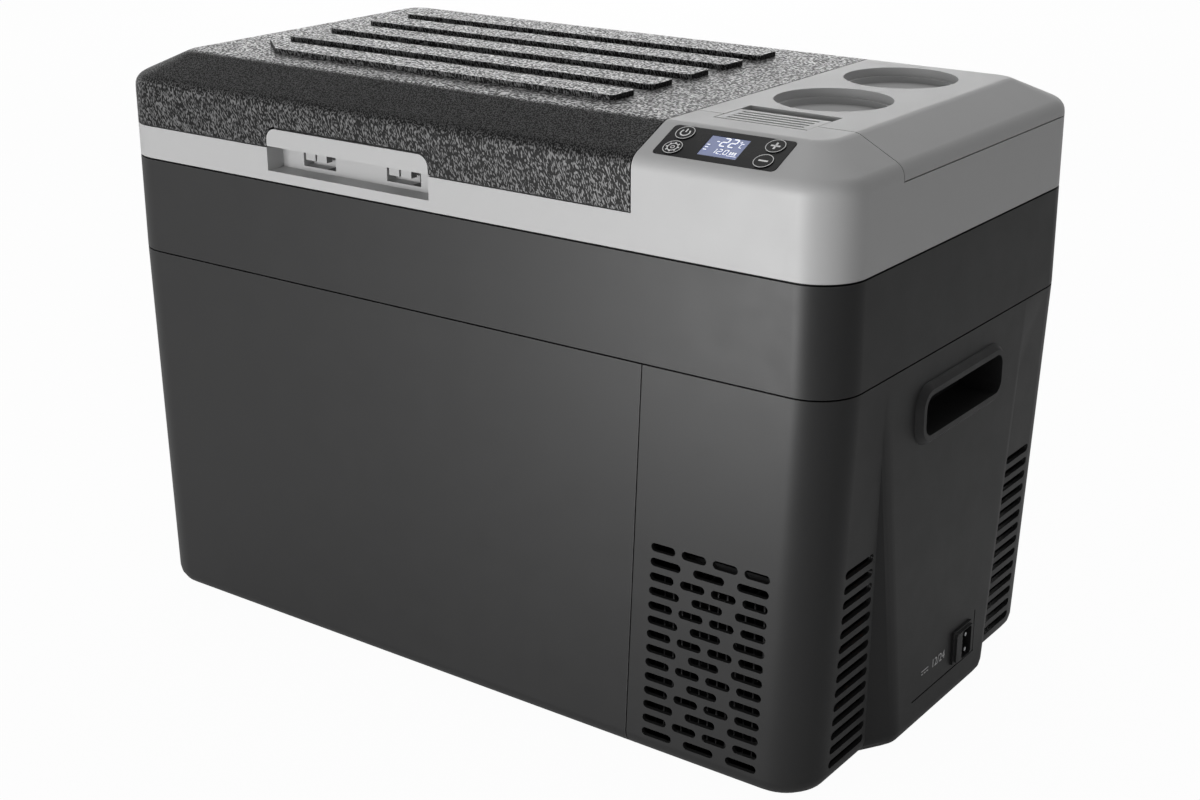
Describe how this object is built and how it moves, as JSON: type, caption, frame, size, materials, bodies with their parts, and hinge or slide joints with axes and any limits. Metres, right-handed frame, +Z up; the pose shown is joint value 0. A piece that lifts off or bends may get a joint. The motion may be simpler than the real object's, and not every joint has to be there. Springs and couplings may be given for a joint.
{
  "type": "compressor cooler fridge",
  "caption": "Portable chest fridge with a hinged ribbed lid, a finger latch, a bevelled control panel, cup holders over a battery bay, end grips and a vented compressor bay",
  "frame": {"origin": "on the floor under the middle of the case, between the feet", "axes": "+X from the food compartment to the machine end, +Y from front to back, +Z up"},
  "size_m": [0.5884, 0.318, 0.4085],
  "materials": {
    "case_plastic": "satin moulded charcoal",
    "frame_plastic": "satin moulded grey",
    "lid_plastic": "pebble grain, near black",
    "black_plastic": "fine matt black",
    "panel_gloss": "gloss black",
    "display": "backlit pale blue",
    "liner_plastic": "white food-safe moulding",
    "foam": "rigid foam",
    "rubber": "soft black rubber",
    "steel": "plated steel",
    "can_paint": "black enamel",
    "alloy": "plain sheet",
    "copper": "bare copper tube",
    "board": "green circuit board",
    "light": "frosted lens"
  },
  "bodies": {
    "case": {"cabinet_shell": "case_plastic", "machine_housing": "case_plastic", "upper_collar": "case_plastic", "top_frame": "frame_plastic", "inner_liner": "liner_plastic", "insulation_foam": "foam", "evaporator": "alloy", "bulkhead": "case_plastic", "base_plate": "can_paint", "rubber_feet": "rubber", "base_screws": "steel", "compressor": "can_paint", "compressor_grommets": "rubber", "compressor_bolts": "steel", "condenser_fins": "can_paint", "condenser_coil": "can_paint", "fan_shroud": "black_plastic", "fan_motor": "steel", "filter_drier": "copper", "drier_clip": "steel", "suction_pipe": "copper", "discharge_pipe": "copper", "liquid_pipe": "copper", "capillary_tube": "copper", "control_board": "board", "board_standoffs": "steel", "driver_heatsink": "alloy", "control_panel": "panel_gloss", "display_lcd": "display", "display_board": "board", "display_spacers": "black_plastic", "dc_socket": "black_plastic", "dc_socket_pins": "steel", "power_lead": "rubber", "grip_right": "black_plastic", "grip_left": "black_plastic", "battery_bay": "black_plastic", "interior_light": "light", "lid_hinge_pins": "steel", "cover_hinge_pins": "steel"},
    "lid": {"lid_shell": "lid_plastic", "lid_liner": "liner_plastic", "lid_foam": "foam", "lid_gasket": "rubber", "latch_pin": "steel", "latch_springs": "steel"},
    "latch": {"latch_handle": "frame_plastic"},
    "cover": {"accessory_cover": "frame_plastic", "catch_tray": "black_plastic"},
    "catch": {"cover_catch": "frame_plastic"},
    "fan": {"fan_rotor": "black_plastic"},
    "power_key": {"power_button": "panel_gloss"},
    "mode_key": {"mode_button": "panel_gloss"},
    "plus_key": {"plus_button": "panel_gloss"},
    "minus_key": {"minus_button": "panel_gloss"}
  },
  "joints": [
    {"name": "lid_hinge", "type": "hinge", "parent": "case", "child": "lid", "pos_m": [0, 0.1552, 0.3564], "axis": [-1, 0, 0], "range_deg": [0, 88]},
    {"name": "latch_pull", "type": "hinge", "parent": "lid", "child": "latch", "pos_m": [0, -0.1558, 0.3663], "axis": [-1, 0, 0], "range_deg": [-4, 14], "stiffness_Nm_per_rad": 0.15},
    {"name": "cover_hinge", "type": "hinge", "parent": "case", "child": "cover", "pos_m": [0.201, 0.1552, 0.3804], "axis": [-1, 0, 0], "range_deg": [0, 88]},
    {"name": "catch_slide", "type": "slide", "parent": "cover", "child": "catch", "axis": [0, 1, 0], "range_m": [-0.0012, 0.011]},
    {"name": "fan_spin", "type": "hinge", "parent": "case", "child": "fan", "pos_m": [0.205, -0.119, 0.069], "axis": [0, 1, 0], "continuous": true},
    {"name": "power_press", "type": "slide", "parent": "case", "child": "power_key", "axis": [0, 0.4167, -0.9091], "range_m": [0, 0.0006], "stiffness_N_per_m": 300},
    {"name": "mode_press", "type": "slide", "parent": "case", "child": "mode_key", "axis": [0, 0.4167, -0.9091], "range_m": [0, 0.0006], "stiffness_N_per_m": 300},
    {"name": "plus_press", "type": "slide", "parent": "case", "child": "plus_key", "axis": [0, 0.4167, -0.9091], "range_m": [0, 0.0006], "stiffness_N_per_m": 300},
    {"name": "minus_press", "type": "slide", "parent": "case", "child": "minus_key", "axis": [0, 0.4167, -0.9091], "range_m": [0, 0.0006], "stiffness_N_per_m": 300}
  ]
}
